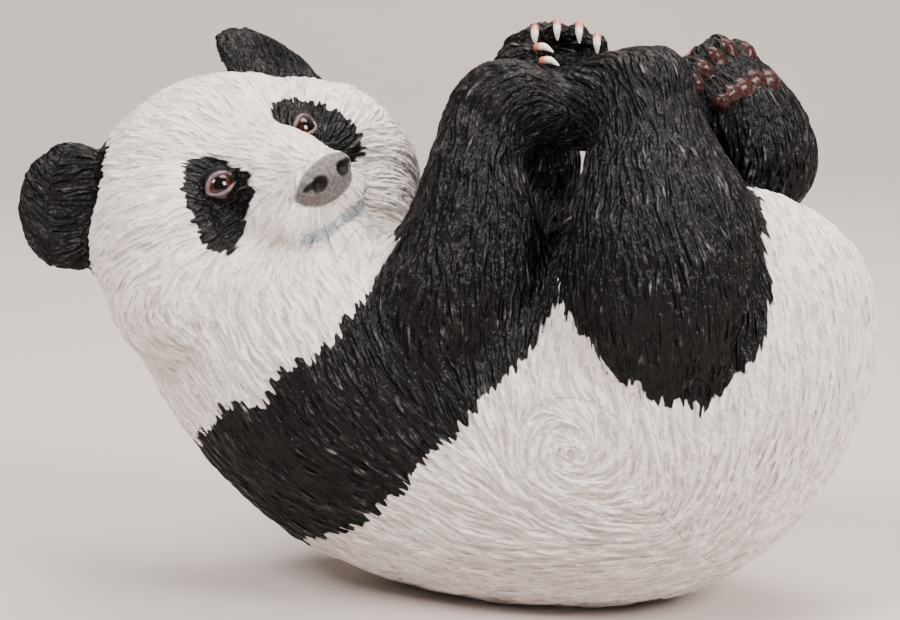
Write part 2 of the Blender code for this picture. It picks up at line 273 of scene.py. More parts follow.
def digits():
    """Every finger and toe: its root, its tip, its radius and its space."""
    rows = []
    for x, z in FAR_FINGERS:
        rows.append(((x - 1, 10, z - 3), (x, 2.5, z), 3.1, WORLD))
    for x, y, z in NEAR_FINGERS:
        rows.append(((x - 6, y + 1, z - 3), (x, y, z), 2.9, WORLD))
    for k, (y, z) in enumerate(TOE_PADS):
        rows.append(((-1, y * 0.9, z - 9), (1.5, y, z - 0.8), 3.9, FOOT))
        x, y = 16 + 1.7 * (k - 2), 12 + 3.9 * (k - 2)
        rows.append(((x + 5, y - 2, 120), (x - 2, y + 1, 123), 3.3, WORLD))
    return rows


def pads():
    """The pads of the free foot's sole, in its space: a place and three radii."""
    rows = [((4.8, y, z - 2.2), (2, 2.1, 2.8)) for y, z in TOE_PADS]
    return rows + [((7.2, y, z), (2, radius, radius)) for y, z, radius in SOLE_PADS]


def small_forms():
    clay = []
    for side in (-1, 1):
        x, y, z = EYE_AT
        ball(clay, (x - 0.6, side * y, z), (EYE_RADIUS, EYE_RADIUS * 1.15, EYE_RADIUS), HEAD)
        ball(clay, (0, 0, 0), EARS_SIZE[side], ear_space(side))
        ball(clay, (-1.5, 0, -7), (6.5, 13, 12), ear_space(side))
        ball(clay, (34.5, side * 6.3, -11), (7.5, 8, 7), HEAD)
    ball(clay, NOSE_AT, NOSE_SIZE, HEAD)
    for root, tip, radius, space in digits():
        limb(clay, [(*root, radius), (*tip, radius * 0.9)], space, spacing=0.4)
    for where, radii in pads():
        ball(clay, where, radii, FOOT)
    return clay


def reading(mesh):
    co = np.empty(len(mesh.vertices) * 3)
    normal = np.empty(len(mesh.vertices) * 3)
    mesh.vertices.foreach_get("co", co)
    mesh.vertices.foreach_get("normal", normal)
    return co.reshape(-1, 3), normal.reshape(-1, 3)


def pressed(co, normal, dents, space):
    """The points after hollows are pressed in: each dent is a place, three radii and a depth."""
    local = into(space, co)
    moved = co.copy()
    for where, radii, depth in dents:
        away = (((local - where) / radii) ** 2).sum(axis=1)
        moved -= normal * (depth * np.clip(1 - away, 0, 1) ** 1.5)[:, None]
    return moved


def press_face(co, normal):
    x, y, z = EYE_AT
    for side in (-1, 1):
        dents = [
            ((x + 1, side * y, z - 1), (9, 10, 9), 1.7),
            ((x - 3, side * (y + 3), z - 12), (11, 6, 9), 2.4),
            ((x + 2, side * (y + 1), z - 21), (10, 6, 9), 2.2),
        ]
        co = pressed(co, normal, dents, HEAD)
    return co


def press_details(co, normal):
    for side in (-1, 1):
        x, y, z = EARS_SIZE[side]
        cup = [((x, 0, 0.5), (5.5, y * 0.7, z * 0.78), EAR_CUP)]
        co = pressed(co, normal, cup, ear_space(side))
    nostrils = [((46, 0.7 + 3.9 * side, -7), (4, 2.2, 1.8), 1.6) for side in (-1, 1)]
    co = pressed(co, normal, nostrils, HEAD)
    mouth = []
    for x, y, z in MOUTH:
        mouth += [((x, side * y, z), (5, 3.6, 1.8), 1.1) for side in (-1, 1)]
    return pressed(co, normal, mouth, HEAD)


def base_form():
    """The smooth figure, before its fur: vertices and quads."""
    obj = bpy.data.objects.new("form", skin(masses()))
    bpy.context.scene.collection.objects.link(obj)
    fuse(obj, ROUGH_GRAIN, 24)
    co, normal = reading(obj.data)
    co = press_face(co, normal)
    obj.data.vertices.foreach_set("co", co.astype(np.float32).ravel())
    bm = bmesh.new()
    bm.from_mesh(obj.data)
    bm.from_mesh(skin(small_forms()))
    bm.to_mesh(obj.data)
    bm.free()
    fuse(obj, GRAIN, 6)
    co, normal = reading(obj.data)
    co = press_details(co, normal)
    corners = np.empty(len(obj.data.loops), np.int32)
    obj.data.loops.foreach_get("vertex_index", corners)
    bpy.data.objects.remove(obj)
    return co, corners.reshape(-1, 4)


def edges_of(quads):
    """Every edge once, as two vertices, and the edge that leaves each corner."""
    pairs = np.stack([quads, np.roll(quads, -1, axis=1)], axis=2).reshape(-1, 2)
    pairs.sort(axis=1)
    keys = pairs[:, 0].astype(np.int64) * (pairs.max() + 1) + pairs[:, 1]
    _, first, back = np.unique(keys, return_index=True, return_inverse=True)
    return pairs[first], back.reshape(-1, 4)


def normals_of(co, quads):
    across = np.cross(co[quads[:, 2]] - co[quads[:, 0]], co[quads[:, 3]] - co[quads[:, 1]])
    normal = np.zeros_like(co)
    for k in range(4):
        for axis in range(3):
            normal[:, axis] += np.bincount(quads[:, k], across[:, axis], len(co))
    return unit(normal)


def eye_point():
    a, e = CAMERA_AZIMUTH, CAMERA_ELEVATION
    back = np.array((math.sin(a) * math.cos(e), -math.cos(a) * math.cos(e), math.sin(e)))
    return CAMERA_TARGET + back * CAMERA_DISTANCE, back


def seen_quads(co, quads):
    """Which quads may face the camera, a little past the outline too."""
    centre = co[quads].mean(axis=1)
    across = np.cross(co[quads[:, 2]] - co[quads[:, 0]], co[quads[:, 3]] - co[quads[:, 1]])
    facing = (unit(across) * unit(eye_point()[0] - centre)).sum(axis=1)
    return facing > -0.12


def finer(co, quads, chosen):
    """Splits the chosen quads into four. Returns the points, the quads and the midpoints' edges."""
    edges, of_corner = edges_of(quads)
    used = np.zeros(len(edges), bool)
    used[of_corner[chosen]] = True
    number = np.full(len(edges), -1)
    number[used] = len(co) + np.arange(used.sum())
    middles = co[edges[used]].mean(axis=1)
    picked = quads[chosen]
    centres = co[picked].mean(axis=1)
    centre_number = len(co) + len(middles) + np.arange(len(picked))
    points = np.concatenate([co, middles, centres])
    mid = number[of_corner[chosen]]
    parts = [
        np.stack([picked[:, k], mid[:, k], centre_number, mid[:, k - 1]], axis=1)
        for k in range(4)
    ]
    count = np.bincount(of_corner[chosen].ravel(), minlength=len(edges))
    rim = used & (count == 1)
    return points, np.concatenate(parts), quads[~chosen], (number[rim], edges[rim])


# Noise

TURN = np.array(Matrix.Rotation(0.7, 3, "X") @ Matrix.Rotation(1.1, 3, "Z"))


def dice(i, j, k, seed):
    h = i * 374761393 + j * 668265263 + k * 2147483647 + seed * 1274126177
    h = (h ^ (h >> 13)) * 1274126177
    h = h ^ (h >> 16)
    return (h & 0xFFFF) / 32767.5 - 1


def noise(co, cell, seed=0):
    q = co @ TURN.T / cell
    low = np.floor(q)
    f = q - low
    f = f * f * (3 - 2 * f)
    i, j, k = low.astype(np.int64).T
    total = 0
    for a in (0, 1):
        for b in (0, 1):
            for c in (0, 1):
                weight = (
                    (f[:, 0] if a else 1 - f[:, 0])
                    * (f[:, 1] if b else 1 - f[:, 1])
                    * (f[:, 2] if c else 1 - f[:, 2])
                )
                total = total + weight * dice(i + a, j + b, k + c, seed)
    return total


def strokes(co, way, cell, reach, seed, taps=9):
    """Noise drawn out along the fur: about zero on average, and one in spread."""
    total, power = 0, 0
    for share in np.linspace(-1, 1, taps):
        weight = math.cos(share * 1.35)
        total = total + weight * noise(co + way * (share * reach), cell, seed)
        power += weight**2
    value = total / math.sqrt(power)
    return value / value.std()


# Which way the fur lies. A guide is a place, a direction, a reach and a strength.

FLANK_GUIDES = [
    (-46, 47, 0.7, -0.7),
    (-32, 40, 0.75, -0.65),
    (-30, 62, 0.55, -0.8),
    (-20, 24, 0.85, -0.5),
    (-14, 68, 0.35, -0.9),
    (-8, 38, 0.85, -0.55),
    (0, 20, 1, -0.2),
    (4, 52, 0.7, -0.7),
    (14, 36, 0.9, -0.4),
    (22, 52, 0.5, -0.85),
    (20, 18, 1, -0.05),
    (32, 68, -0.05, -1),
    (30, 6, 1, 0),
    (45, 18, 1, 0),
    (46, 32, 0.9, -0.3),
    (60, 20, 1, 0.15),
    (60, 40, 0.2, -1),
    (76, 40, -0.4, -0.9),
    (72, 24, -0.8, -0.6),
    (82, 60, -0.1, -1),
    (88, 40, -0.5, -0.85),
    (92, 80, 0.1, -1),
    (78, 92, 0.5, -0.85),
    (60, 100, 0.9, -0.4),
]
WHORL = (39, -43, 48)
WHORL_REACH = 12


def guides():
    rows = []
    for x, z, dx, dz in FLANK_GUIDES:
        for side in (-1, 1):
            rows.append((x, side * 40, z, dx, 0, dz, 17, 1))
    for x in (-20, 0, 20, 40, 60):
        rows.append((x, 0, 3, 1, 0, 0, 22, 1))
    rows.append((100, 0, 60, -0.1, 0, -1, 25, 1))
    rows.append((25, 0, 92, 1, 0, 0, 16, 1))
    for bones, sign in ((NEAR_ARM[3:], 1), (FAR_ARM[2:], 1), (NEAR_LEG, -1), (FAR_LEG, -1)):
        points = np.array([row[:4] for row in along(bones, 5)])
        ways = unit(np.gradient(points[:, :3], axis=0)) * sign
        for point, direction in zip(points, ways):
            rows.append((*point[:3], *direction, point[3] * 1.15, 1.6))
    for z in (-12, 0, 12):
        rows.append((*out_of(FOOT, (0, 0, z)), *out_of(FOOT, (0, 0, 1)) - FOOT_AT, 16, 1.5))
    return np.array(rows)


def head_share(co):
    """How far a point is the head's to comb: one on the head, none on the body."""
    local = into(HEAD, co)
    away = np.linalg.norm((local - (4, 1, 0)) / (38, 42, 38), axis=1)
    return smooth_step((1.18 - away) / 0.25)


def head_way(co):
    local = into(HEAD, co)
    radial = unit(local - (41, 0, -4))
    drop = smooth_step((2 - local[:, 2]) / 16) * smooth_step((34 - local[:, 0]) / 16)
    way = radial * (1 - 0.75 * drop)[:, None]
    way[:, 2] -= 0.9 * drop
    return way @ np.array(HEAD)[:3, :3].T


def combed(co, normal):
    """The way of the fur at every point, along the surface."""
    first = unit(np.cross(normal, (0.3, 0.2, 0.93)))
    second = np.cross(normal, first)
    double = np.zeros((len(co), 2))
    plain = np.zeros((len(co), 2))
    body = 1 - head_share(co)

    def add(direction, weight):
        a = (direction * first).sum(axis=1)
        b = (direction * second).sum(axis=1)
        length = np.hypot(a, b) + 1e-9
        angle = 2 * np.arctan2(b, a)
        double[:, 0] += weight * length * np.cos(angle)
        double[:, 1] += weight * length * np.sin(angle)
        plain[:, 0] += weight * a
        plain[:, 1] += weight * b

    for x, y, z, dx, dy, dz, reach, strength in guides():
        offset = co - (x, y, z)
        weight = strength * np.exp(-(offset**2).sum(axis=1) / reach**2)
        add(unit((dx, dy, dz))[None, :] * np.ones((len(co), 1)), weight * body)
    add(head_way(co), 1.5 * (1 - body))
    offset = co - WHORL
    away = np.linalg.norm(offset, axis=1)
    swirl = unit(np.cross(normal, offset)) + 0.35 * unit(offset)
    add(swirl, 6 * np.exp(-((away / WHORL_REACH) ** 2)))
    angle = 0.5 * np.arctan2(double[:, 1], double[:, 0])
    way = np.cos(angle)[:, None] * first + np.sin(angle)[:, None] * second
    meant = plain[:, :1] * first + plain[:, 1:] * second
    return way * np.where((way * meant).sum(axis=1) < 0, -1, 1)[:, None]


# Where the fur is black. Each field is in millimetres and above zero inside.

BAND = [
    (30, 86),
    (32, 79),
    (30, 72),
    (27, 67),
    (23, 61),
    (18, 56),
    (10, 47),
    (3, 39),
    (-3, 32),
    (-15, 22),
    (-28, 16),
    (-45, 4),
    (-75, 20),
    (-58, 38),
    (-50, 46),
    (-46, 50.5),
    (-41, 51.5),
    (-36, 51),
    (-33, 55),
    (-32, 59),
    (-28, 61.5),
    (-21, 64),
    (-16, 71),
    (-11.5, 79),
    (-8.5, 85),
    (-5.5, 92),
    (0, 104),
    (22, 104),
]
THIGH = [
    (22, 85),
    (29, 83),
    (32, 80.5),
    (32.4, 77.2),
    (35.6, 73.5),
    (41, 69),
    (46, 63.5),
    (53, 59.5),
    (57, 57.3),
    (63.7, 56.3),
    (66.5, 54.7),
    (70, 58.4),
    (74, 62.8),
    (77.2, 66),
    (79.1, 70.3),
    (80.1, 79),
    (78, 92),
    (73, 106),
    (66, 120),
    (26, 128),
]
PATCH_AT = (17.4, 4.6)
PATCH_SIZE = (7, 12.6)
PATCH_LEAN = 0.46


def in_outline(points, outline):
    """The distance to a closed outline in a plane, above zero inside it."""
    corners = np.array(outline, float)
    nearest = np.full(len(points), 1e9)
    inside = np.zeros(len(points), bool)
    for a, b in zip(corners, np.roll(corners, -1, axis=0)):
        edge = b - a
        t = np.clip(((points - a) @ edge) / (edge @ edge), 0, 1)
        nearest = np.minimum(nearest, np.linalg.norm(points - a - t[:, None] * edge, axis=1))
        crosses = (a[1] > points[:, 1]) != (b[1] > points[:, 1])
        at = a[0] + (points[:, 1] - a[1]) * edge[0] / (edge[1] if edge[1] else 1e-9)
        inside ^= crosses & (points[:, 0] < at)
    return np.where(inside, nearest, -nearest)


def near_bones(co, bones, extra):
    best = np.full(len(co), -1e9)
    for point in along(bones, 3):
        best = np.maximum(best, point[3] + extra - np.linalg.norm(co - point[:3], axis=1))
    return best


def blackness(co):
    here = co - ORIGIN
    on_head = head_share(co)
    field = in_outline(here[:, (0, 2)], BAND) - 12 * on_head
    beside = np.maximum(-6 - co[:, 1], co[:, 1] - 12)
    field = np.maximum(field, np.minimum(in_outline(here[:, (0, 2)], THIGH), beside))
    for bones, extra in ((NEAR_ARM[5:], 6), (FAR_ARM[3:], 6), (NEAR_LEG[4:], 6), (NEAR_KNEE, 5), (FAR_LEG[1:], 4)):
        field = np.maximum(field, near_bones(co, bones, extra))
    foot = into(FOOT, co)
    field = np.maximum(field, 30 - np.linalg.norm(foot, axis=1))
    field = np.maximum(field, np.minimum(co[:, 2] - 112, 34 - np.abs(co[:, 0] - 30)))
    local = into(HEAD, co)
    for side in (-1, 1):
        ear = into(ear_space(side), co)
        away = np.linalg.norm((ear - (0, 0, 1)) / (np.array(EARS_SIZE[side]) + (5, 3, 2.4)), axis=1)
        field = np.maximum(field, (1.04 - away) * 12)
        l, u = side * local[:, 1] - PATCH_AT[0], local[:, 2] - PATCH_AT[1]
        down = -math.cos(PATCH_LEAN) * u + math.sin(PATCH_LEAN) * l
        aside = math.cos(PATCH_LEAN) * l + math.sin(PATCH_LEAN) * u
        away = np.hypot(aside / PATCH_SIZE[0], down / PATCH_SIZE[1])
        patch = np.where(local[:, 0] > 12, (1 - away) * PATCH_SIZE[0], -9)
        field = np.maximum(field, patch)
    return field


def spot(points, where, radii, edge):
    """One inside an ellipsoid, falling to none over a share of its radii."""
    away = np.linalg.norm((points - where) / np.asarray(radii, float), axis=1)
    return smooth_step((1 + edge - away) / edge)


def nose_share(co):
    x, y, z = NOSE_AT
    a, b, c = NOSE_SIZE
    return spot(into(HEAD, co), (x + 1, y, z - 1.4), (a + 2.5, b - 0.2, c), 0.1)


def nostril_share(co):
    local = into(HEAD, co)
    share = np.zeros(len(co))
    for side in (-1, 1):
        share = np.maximum(share, spot(local, (46, 0.7 + 3.9 * side, -7), (4, 1.9, 1.5), 0.4))
        share = np.maximum(share, spot(local, (44, 0.7 + 6 * side, -6.2), (4, 1.7, 0.7), 0.4))
    return share


def pad_share(co):
    foot = into(FOOT, co)
    share = np.zeros(len(co))
    for (x, y, z), (a, b, c) in pads():
        share = np.maximum(share, spot(foot, (x + 1, y, z), (a + 2, b - 0.15, c - 0.15), 0.16))
    return share


def lip_share(co):
    """The painted line of the mouth."""
    local = into(HEAD, co)
    best = np.full(len(co), 99.0)
    for side in (-1, 1):
        for x, y, z, _ in along([(x, y, z, 0) for x, y, z in (*MOUTH[1:], (40.5, 0, -16.6))], 0.4):
            best = np.minimum(best, np.linalg.norm((local - (x, side * y, z)) * (0.3, 1, 1), axis=1))
    return smooth_step((1.8 - best) / 1.1) * (local[:, 0] > 25)


def bareness(co):
    """How bare of fur a point is: one on the eyes, the nose and the pads."""
    local = into(HEAD, co)
    bare = np.maximum(nose_share(co), pad_share(co))
    for side in (-1, 1):
        x, y, z = EYE_AT
        bare = np.maximum(bare, spot(local, (x + 2, side * y, z), (6, 5.2, 4.4), 0.4))
    return bare


def relief_height(co):
    """How deep the strokes are carved, in millimetres."""
    local = into(HEAD, co)
    face = smooth_step((local[:, 0] - 18) / 16) * head_share(co)
    return 0.5 * (1 - 0.25 * head_share(co)) * (1 - 0.4 * face) * (1 - bareness(co))


def furred(co, normal):
    """The carved fur: new points, the way, the height of the ridges and the black field."""
    way = combed(co, normal)
    clumps = strokes(co, way, 3.2, 7.0, 3, taps=9)
    wander = 0.3 * noise(co, 5, 11)[:, None] * np.cross(normal, way)
    way = unit(way + wander)
    locks = np.tanh(1.4 * strokes(co, way, 0.85, 3.4, 5, taps=11))
    hairs = np.tanh(1.4 * strokes(co, way, 0.55, 2.0, 6, taps=11))
    ridge = 0.5 + 0.3 * locks + 0.2 * hairs
    depth = relief_height(co)
    lift = depth * 1.7 * (ridge - 0.55) + depth * 0.35 * clumps
    tufts = np.tanh(strokes(co, way, 0.7, 2.4, 8))
    black = blackness(co)
    across = np.clip(np.abs(blackness(co + way) - black), 0, 1)
    face = spot(into(HEAD, co), (24, 0, 4), (24, 32, 24), 0.2)
    black += (1 - 0.4 * face) * (0.2 + 0.8 * across) * (1.5 * tufts + 0.4 * np.tanh(clumps))
    return co + normal * lift[:, None], way, ridge, black


class Coat:
    """The whole fur as arrays, cut into pieces under the limit of triangles."""

    def __init__(self):
        co, quads = base_form()
        near = seen_quads(co, quads)
        self.points, self.fine, self.coarse, (rim, rim_edges) = finer(co, quads, near)
        everything = np.concatenate([self.fine, self.coarse])
        self.soften(4)
        normal = normals_of(self.points, everything)
        self.shares = {
            "nose": nose_share(self.points),
            "nostril": nostril_share(self.points),
            "pad": pad_share(self.points),
            "lip": lip_share(self.points),
        }
        moved, self.way, self.ridge, self.black = furred(self.points, normal)
        moved[rim] = moved[rim_edges].mean(axis=1)
        moved[:, 2] = np.maximum(moved[:, 2], GROUND)
        self.points = moved
        self.normal = normals_of(moved, everything)
        self.normal[rim] = unit(self.normal[rim_edges].sum(axis=1))

    def soften(self, rounds):
        """Evens the finer half after its split."""
        edges, _ = edges_of(self.fine)
        inner = np.bincount(edges.ravel(), minlength=len(self.points))
        on_coarse = np.zeros(len(self.points), bool)
        on_coarse[self.coarse] = True
        free = (inner > 0) & ~on_coarse
        for _ in range(rounds):
            total = np.zeros_like(self.points)
            for axis in range(3):
                total[:, axis] = np.bincount(
                    edges[:, 0], self.points[edges[:, 1], axis], len(self.points)
                ) + np.bincount(edges[:, 1], self.points[edges[:, 0], axis], len(self.points))
            mean = total[free] / inner[free, None]
            self.points[free] += 0.5 * (mean - self.points[free])

    def piece(self, name, quads):
        used, new = np.unique(quads, return_inverse=True)
        places = (self.points[used] - ORIGIN) * UNIT
        mesh = mesh_of(name, places, new.reshape(-1, 4))
        for label, kind, key, data in (
            ("black", "FLOAT", "value", self.black),
            ("ridge", "FLOAT", "value", self.ridge),
            *((label, "FLOAT", "value", share) for label, share in self.shares.items()),
            ("way", "FLOAT_VECTOR", "vector", self.way),
        ):
            layer = mesh.attributes.new(label, kind, "POINT")
            layer.data.foreach_set(key, np.ascontiguousarray(data[used], np.float32).ravel())
        mesh.polygons.foreach_set("use_smooth", np.ones(len(quads), bool))
        mesh.normals_split_custom_set_from_vertices(self.normal[used].astype(np.float32))
        obj = bpy.data.objects.new(name, mesh)
        bpy.context.scene.collection.objects.link(obj)
        return obj

    def cut(self, quads, name, limit=96000):
        """Pieces of one colour each, every one under the limit of quads, cut across X."""
        made = []
        dark = self.black[quads].mean(axis=1) > 0
        bare = np.maximum(self.shares["nose"], self.shares["pad"])[quads].mean(axis=1) > 0.5
        for colour, chosen in (("white", quads[~dark & ~bare]), ("black", quads[dark & ~bare])):
            parts = math.ceil(len(chosen) / limit)
            order = np.argsort(self.points[chosen[:, 0], 0])
            for i, rows in enumerate(np.array_split(order, parts)):
                obj = self.piece(f"coat_{name}_{colour}_{i + 1}", chosen[rows])
                made.append((obj, f"{colour}_fur"))
        if bare.any():
            made.append((self.piece(f"skin_{name}", quads[bare]), "skin"))
        return made


# Materials

class Paint:
    """A small hand for wiring material nodes."""

    def __init__(self, name):
        self.material = bpy.data.materials.new(name)
        self.material.use_nodes = True
        self.tree = self.material.node_tree
        self.surface = self.tree.nodes["Principled BSDF"]

    def node(self, kind, **inputs):
        made = self.tree.nodes.new("ShaderNode" + kind)
        for key, value in inputs.items():
            if hasattr(made, key) and key not in made.inputs:
                setattr(made, key, value)
            else:
                self.plug(made.inputs[key], value)
        return made

    def plug(self, socket, value):
        if isinstance(value, bpy.types.NodeSocket):
            self.tree.links.new(value, socket)
        else:
            socket.default_value = value

    def sum(self, kind, *values, clamp=False):
        made = self.tree.nodes.new("ShaderNodeMath")
        made.operation = kind
        made.use_clamp = clamp
        for socket, value in zip(made.inputs, values):
            self.plug(socket, value)
        return made.outputs[0]

    def vector(self, kind, *values):
        made = self.tree.nodes.new("ShaderNodeVectorMath")
        made.operation = kind
        for i, value in enumerate(values):
            if isinstance(value, float):
                self.plug(made.inputs["Scale"], value)
            else:
                self.plug(made.inputs[i], value)
        return made.outputs[0]

    def ramp(self, value, low, high):
        made = self.tree.nodes.new("ShaderNodeMapRange")
        made.interpolation_type = "SMOOTHSTEP"
        self.plug(made.inputs["Value"], value)
        self.plug(made.inputs["From Min"], low)
        self.plug(made.inputs["From Max"], high)
        return made.outputs[0]

    def mix(self, share, first, second):
        made = self.tree.nodes.new("ShaderNodeMix")
        made.data_type = "RGBA"
        self.plug(made.inputs[0], share)
        self.plug(made.inputs[6], first)
        self.plug(made.inputs[7], second)
        return made.outputs[2]

    def attribute(self, name):
        made = self.tree.nodes.new("ShaderNodeAttribute")
        made.attribute_name = name
        return made

    def noise(self, where, scale, detail=2.0, rough=0.5):
        made = self.tree.nodes.new("ShaderNodeTexNoise")
        self.plug(made.inputs["Vector"], where)
        made.inputs["Scale"].default_value = scale
        made.inputs["Detail"].default_value = detail
        made.inputs["Roughness"].default_value = rough
        return made.outputs["Fac"]


def drawn_out(paint, where, way, scale, reach, taps):
    """Noise averaged along the fur's way, so that it shows as fine hairs."""
    total = None
    for share in np.linspace(-1, 1, taps):
        shift = paint.vector("SCALE", way, float(share * reach))
        value = paint.noise(paint.vector("ADD", where, shift), scale, detail=0.0)
        total = value if total is None else paint.sum("ADD", total, value)
    return paint.sum("MULTIPLY", total, 1 / taps)


def coat_paint():
    paint = Paint("painted_fur")
    where = paint.node("TexCoord").outputs["Object"]
    way = paint.attribute("way").outputs["Vector"]
    ridge = paint.attribute("ridge").outputs["Fac"]
    black = paint.attribute("black").outputs["Fac"]
    hair = paint.ramp(drawn_out(paint, where, way, 1500.0, 0.001, 5), 0.42, 0.58)
    lock = paint.ramp(drawn_out(paint, where, way, 900.0, 0.002, 9), 0.40, 0.60)
    cloud = paint.noise(where, 45.0, 3.0)
    blotch = paint.noise(where, 160.0, 2.0)

    # Beige-grey where the carved ridges and the bump strokes sink: partly a pigment wash, partly painted shade in
    # the grooves.
    groove_wash_and_shade = paint.sum("MULTIPLY", paint.ramp(ridge, 0.65, 0.1), 0.35)
    groove_wash_and_shade = paint.sum("ADD", groove_wash_and_shade, paint.sum("MULTIPLY", paint.ramp(lock, 0.5, 0.0), 0.4))
    white = paint.mix(groove_wash_and_shade, (0.92, 0.855, 0.83, 1), (0.46, 0.38, 0.335, 1))
    white = paint.mix(paint.sum("MULTIPLY", paint.ramp(cloud, 0.35, 0.8), 0.12), white, (0.62, 0.55, 0.49, 1))
    # Darker again where the fine hair strokes of the bump sink: the same wash and painted shade in their hollows.
    white = paint.mix(paint.sum("MULTIPLY", paint.ramp(hair, 0.55, 0.0), 0.12), white, (0.62, 0.56, 0.52, 1))

    # Lighter grey on the raised ridges of the black fur, in blotches: partly dry-brushed paint, partly a painted
    # highlight on the strokes.
    brushed_and_highlight = paint.sum("MULTIPLY", paint.ramp(ridge, 0.62, 0.98), paint.ramp(blotch, 0.42, 0.75))
    brushed_and_highlight = paint.sum("MULTIPLY", brushed_and_highlight, paint.sum("MULTIPLY", hair, lock))
    dark = paint.mix(paint.sum("MULTIPLY", brushed_and_highlight, 0.9), (0.0045, 0.0042, 0.0042, 1), (0.22, 0.215, 0.215, 1))

    mask = paint.ramp(black, -0.25, 0.25)
    colour = paint.mix(mask, white, dark)

    lip = paint.attribute("lip").outputs["Fac"]
    lip = paint.sum("MULTIPLY", lip, paint.ramp(paint.noise(where, 500.0, 2.0), 0.25, 0.5))
    colour = paint.mix(paint.sum("MULTIPLY", lip, 0.85), colour, (0.27, 0.33, 0.38, 1))
    pad = paint.attribute("pad").outputs["Fac"]
    grain = paint.ramp(paint.noise(where, 1400.0, 2.0), 0.35, 0.7)
    colour = paint.mix(pad, colour, paint.mix(grain, (0.02, 0.008, 0.007, 1), (0.07, 0.029, 0.024, 1)))
    nose = paint.attribute("nose").outputs["Fac"]
    colour = paint.mix(nose, colour, paint.mix(grain, (0.10, 0.09, 0.088, 1), (0.20, 0.18, 0.176, 1)))
    nostril = paint.attribute("nostril").outputs["Fac"]
    colour = paint.mix(nostril, colour, (0.006, 0.005, 0.005, 1))
    paint.plug(paint.surface.inputs["Base Color"], colour)
    paint.surface.inputs["Specular IOR Level"].default_value = 0.17
    rough = paint.sum("SUBTRACT", 0.66, paint.sum("MULTIPLY", mask, 0.28))
    bare = paint.sum("MAXIMUM", pad, nose)
    paint.plug(paint.surface.inputs["Roughness"], paint.sum("SUBTRACT", rough, paint.sum("MULTIPLY", bare, 0.14)))
    bump = paint.tree.nodes.new("ShaderNodeBump")
    bump.inputs["Distance"].default_value = 0.00055
    furry = paint.sum("MULTIPLY", paint.sum("SUBTRACT", 1.0, bare), 0.9)
    paint.plug(bump.inputs["Strength"], paint.sum("ADD", furry, 0.1))
    paint.plug(bump.inputs["Height"], paint.sum("MULTIPLY_ADD", hair, 0.35, lock))
    paint.plug(paint.surface.inputs["Normal"], bump.outputs[0])
    return paint.material


def plain_paint(name, colour, other, rough, scale=400.0, depth=0.00005):
    """A painted finish that varies a little in colour, gloss and surface."""
    paint = Paint(name)
    where = paint.node("TexCoord").outputs["Object"]
    spots = paint.noise(where, scale, 3.0, 0.6)
    share = paint.ramp(spots, 0.3, 0.7)
    paint.plug(paint.surface.inputs["Base Color"], paint.mix(share, (*colour, 1), (*other, 1)))
    paint.plug(paint.surface.inputs["Roughness"], paint.sum("MULTIPLY_ADD", share, 0.12, rough))
    bump = paint.tree.nodes.new("ShaderNodeBump")
    bump.inputs["Distance"].default_value = depth
    paint.plug(bump.inputs["Height"], spots)
    paint.plug(paint.surface.inputs["Normal"], bump.outputs[0])
    return paint.material


# Small pieces

def finish_piece(obj, material):
    obj.data.materials.append(material)
    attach(obj, "root")


def grid_piece(name, rows, closed=True):
    """A smooth piece from rows of points; each row is a ring."""
    rows = np.asarray(rows)
    n, m = rows.shape[:2]
    i, j = np.meshgrid(np.arange(n - 1), np.arange(m), indexing="ij")
    k = (j + 1) % m
    quads = np.stack([i * m + j, i * m + k, (i + 1) * m + k, (i + 1) * m + j], axis=-1).reshape(-1, 4)
    places = (rows.reshape(-1, 3) - ORIGIN) * UNIT
    mesh = mesh_of(name, places, quads)
    bm = bmesh.new()
    bm.from_mesh(mesh)
    if closed:
        bmesh.ops.holes_fill(bm, edges=[e for e in bm.edges if e.is_boundary], sides=0)
    bmesh.ops.recalc_face_normals(bm, faces=bm.faces[:])
    for face in bm.faces:
        face.smooth = True
    bm.to_mesh(mesh)
    bm.free()
    obj = bpy.data.objects.new(name, mesh)
    bpy.context.scene.collection.objects.link(obj)
    return obj


def tube(name, stations, sides=20):
    """A round tube along points with radii."""
    rows = np.array([between(stations, s) for s in np.linspace(0, 1, 16)])
    ways = unit(np.gradient(rows[:, :3], axis=0))
    first = unit(np.cross(ways, (0.31, 0.52, 0.79)))
    second = np.cross(ways, first)
    angle = np.linspace(0, 2 * math.pi, sides, endpoint=False)[:, None]
    rings = [
        row[:3] + row[3] * (np.cos(angle) * a + np.sin(angle) * b)
        for row, a, b in zip(rows, first, second)
    ]
    return grid_piece(name, rings)


def claws(material):
    """A curved claw on the far hand's last four fingers, the near hand's first two and each toe of the free foot:
    the offsets of its points from the digit's tip.
    """
    rows = []
    hooked = ((0.8, -1.6, 2.6), (1.1, -3.3, 0.7), (1.2, -3.2, -1.8))
    for k, (x, z) in enumerate(FAR_FINGERS[1:]):
        rows.append((f"far_hand_{k + 1}", (x, 2.5, z), hooked, WORLD))
    sidelong = ((2, -1.6, 2.2), (4.2, -2.5, 2.4), (6.4, -2.7, 1.2))
    for k, tip in enumerate(NEAR_FINGERS[:2]):
        rows.append((f"near_hand_{k + 1}", tip, sidelong, WORLD))
    backward = ((-1.5, 0, 2), (-4.5, 0, 2.8), (-6.5, 0, 1))
    for k, (y, z) in enumerate(TOE_PADS):
        rows.append((f"free_foot_{k + 1}", (1.5, y, z - 0.8), backward, FOOT))
    for name, tip, offsets, space in rows:
        places = out_of(space, np.array(tip) + np.array(offsets))
        sizes = (0.95, 0.85, 0.2)
        obj = tube(f"claw_{name}", [(*p, r) for p, r in zip(places, sizes)])
        layer = obj.data.attributes.new("along", "FLOAT", "POINT")
        layer.data.foreach_set("value", np.repeat(np.linspace(0, 1, 16), 20).astype(np.float32))
        finish_piece(obj, material)


